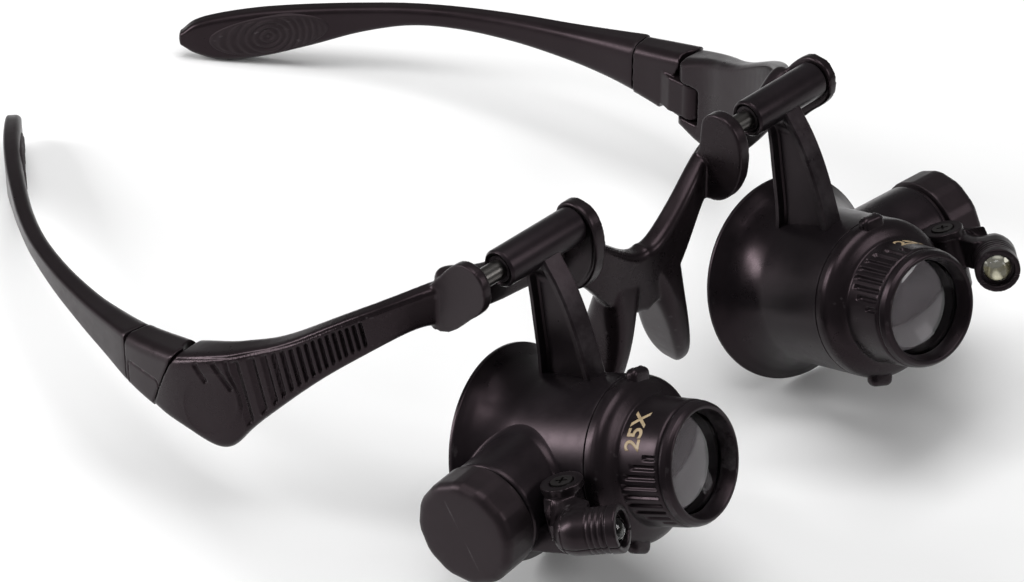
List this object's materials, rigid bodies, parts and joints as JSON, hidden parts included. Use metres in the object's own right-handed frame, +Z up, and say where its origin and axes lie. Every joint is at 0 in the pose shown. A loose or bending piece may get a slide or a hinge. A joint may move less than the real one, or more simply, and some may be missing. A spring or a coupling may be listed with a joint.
{
  "type": "lighted magnifier glasses",
  "caption": "Spectacle frame with flip-up, sliding eye loupes on steel guide rods, each with a bayonet lens unit, coin-cell tube and swivelling LED lamp arm",
  "frame": {"origin": "middle of the overall box in plan, on the table the glasses stand on", "axes": "+X wearer's left, +Z up, wearer looks along -Y; the glasses stand on both eyecup rims and both temple tips"},
  "size_m": [0.1458, 0.1911, 0.0633],
  "materials": {
    "black_plastic": "satin-gloss injection moulded black plastic",
    "soft_rubber": "matt soft rubber with moulded ribs",
    "bush_plastic": "matt dark plastic",
    "polished_steel": "blackened steel rod, polished",
    "screw_steel": "blackened steel screw",
    "plated_contact": "nickel plated spring steel",
    "cell_steel": "nickel plated steel can",
    "lens_glass": "clear polished lens",
    "led_epoxy": "water-clear epoxy with silvered cup"
  },
  "bodies": {
    "frame": {"front_frame": "black_plastic", "guide_rod_right": "polished_steel", "guide_rod_left": "polished_steel", "hinge_pin_right": "polished_steel", "hinge_pin_left": "polished_steel"},
    "temple_right": {"hinge_block_right": "black_plastic", "temple_right": "black_plastic", "ear_pad_right": "soft_rubber"},
    "slider_right": {"friction_bush_right": "bush_plastic"},
    "loupe_right": {"loupe_arm_right": "black_plastic", "eyecup_body_right": "black_plastic", "tube_contact_right": "plated_contact", "coin_cells_right": "cell_steel", "pivot_screw_right": "screw_steel"},
    "lens_right": {"lens_mount_right": "black_plastic", "rear_lens_right": "lens_glass", "lens_spacer_right": "black_plastic", "front_lens_right": "lens_glass", "front_ring_right": "black_plastic"},
    "cap_right": {"battery_cap_right": "black_plastic", "cap_contact_right": "plated_contact"},
    "led_arm_right": {"led_arm_top_right": "black_plastic", "led_arm_bottom_right": "black_plastic", "led_right": "led_epoxy"},
    "temple_left": {"hinge_block_left": "black_plastic", "temple_left": "black_plastic", "ear_pad_left": "soft_rubber"},
    "slider_left": {"friction_bush_left": "bush_plastic"},
    "loupe_left": {"loupe_arm_left": "black_plastic", "eyecup_body_left": "black_plastic", "tube_contact_left": "plated_contact", "coin_cells_left": "cell_steel", "pivot_screw_left": "screw_steel"},
    "lens_left": {"lens_mount_left": "black_plastic", "rear_lens_left": "lens_glass", "lens_spacer_left": "black_plastic", "front_lens_left": "lens_glass", "front_ring_left": "black_plastic"},
    "cap_left": {"battery_cap_left": "black_plastic", "cap_contact_left": "plated_contact"},
    "led_arm_left": {"led_arm_top_left": "black_plastic", "led_arm_bottom_left": "black_plastic", "led_left": "led_epoxy"}
  },
  "joints": [
    {"name": "temple_right_fold", "type": "hinge", "parent": "frame", "child": "temple_right", "pos_m": [-0.067, -0.00685, 0.02137], "axis": [0, -0.0871, -0.9962], "range_deg": [0, 47]},
    {"name": "loupe_right_slide", "type": "slide", "parent": "frame", "child": "slider_right", "axis": [1, 0, 0], "range_m": [-0.0053, 0.0001]},
    {"name": "loupe_right_flip", "type": "hinge", "parent": "slider_right", "child": "loupe_right", "pos_m": [-0.0303, -0.05021, 0.05929], "axis": [-1, 0, 0], "range_deg": [-3, 85]},
    {"name": "lens_right_bayonet", "type": "hinge", "parent": "loupe_right", "child": "lens_right", "pos_m": [-0.0329, -0.06646, 0.02362], "axis": [0.1495, -0.8998, 0.4099], "range_deg": [0, 30]},
    {"name": "cap_right_twist", "type": "hinge", "parent": "loupe_right", "child": "cap_right", "pos_m": [-0.05799, -0.06728, 0.02487], "axis": [-0.9888, -0.1361, 0.062], "range_deg": [0, 90]},
    {"name": "led_right_swivel", "type": "hinge", "parent": "loupe_right", "child": "led_arm_right", "pos_m": [-0.05013, -0.07905, 0.02935], "axis": [0, 0.4146, 0.91], "range_deg": [-32.3, 24.7]},
    {"name": "temple_left_fold", "type": "hinge", "parent": "frame", "child": "temple_left", "pos_m": [0.067, -0.00685, 0.02137], "axis": [0, 0.0871, 0.9962], "range_deg": [0, 62]},
    {"name": "loupe_left_slide", "type": "slide", "parent": "frame", "child": "slider_left", "axis": [1, 0, 0], "range_m": [-0.0054, 0.0001]},
    {"name": "loupe_left_flip", "type": "hinge", "parent": "slider_left", "child": "loupe_left", "pos_m": [0.0356, -0.05021, 0.05929], "axis": [-1, 0, 0], "range_deg": [-3, 85]},
    {"name": "lens_left_bayonet", "type": "hinge", "parent": "loupe_left", "child": "lens_left", "pos_m": [0.0382, -0.06646, 0.02362], "axis": [-0.1495, -0.8998, 0.4099], "range_deg": [0, 30]},
    {"name": "cap_left_twist", "type": "hinge", "parent": "loupe_left", "child": "cap_left", "pos_m": [0.06329, -0.06728, 0.02487], "axis": [0.9888, -0.1361, 0.062], "range_deg": [0, 90]},
    {"name": "led_left_swivel", "type": "hinge", "parent": "loupe_left", "child": "led_arm_left", "pos_m": [0.05543, -0.07905, 0.02935], "axis": [0, -0.4146, -0.91], "range_deg": [-53, 4]}
  ]
}
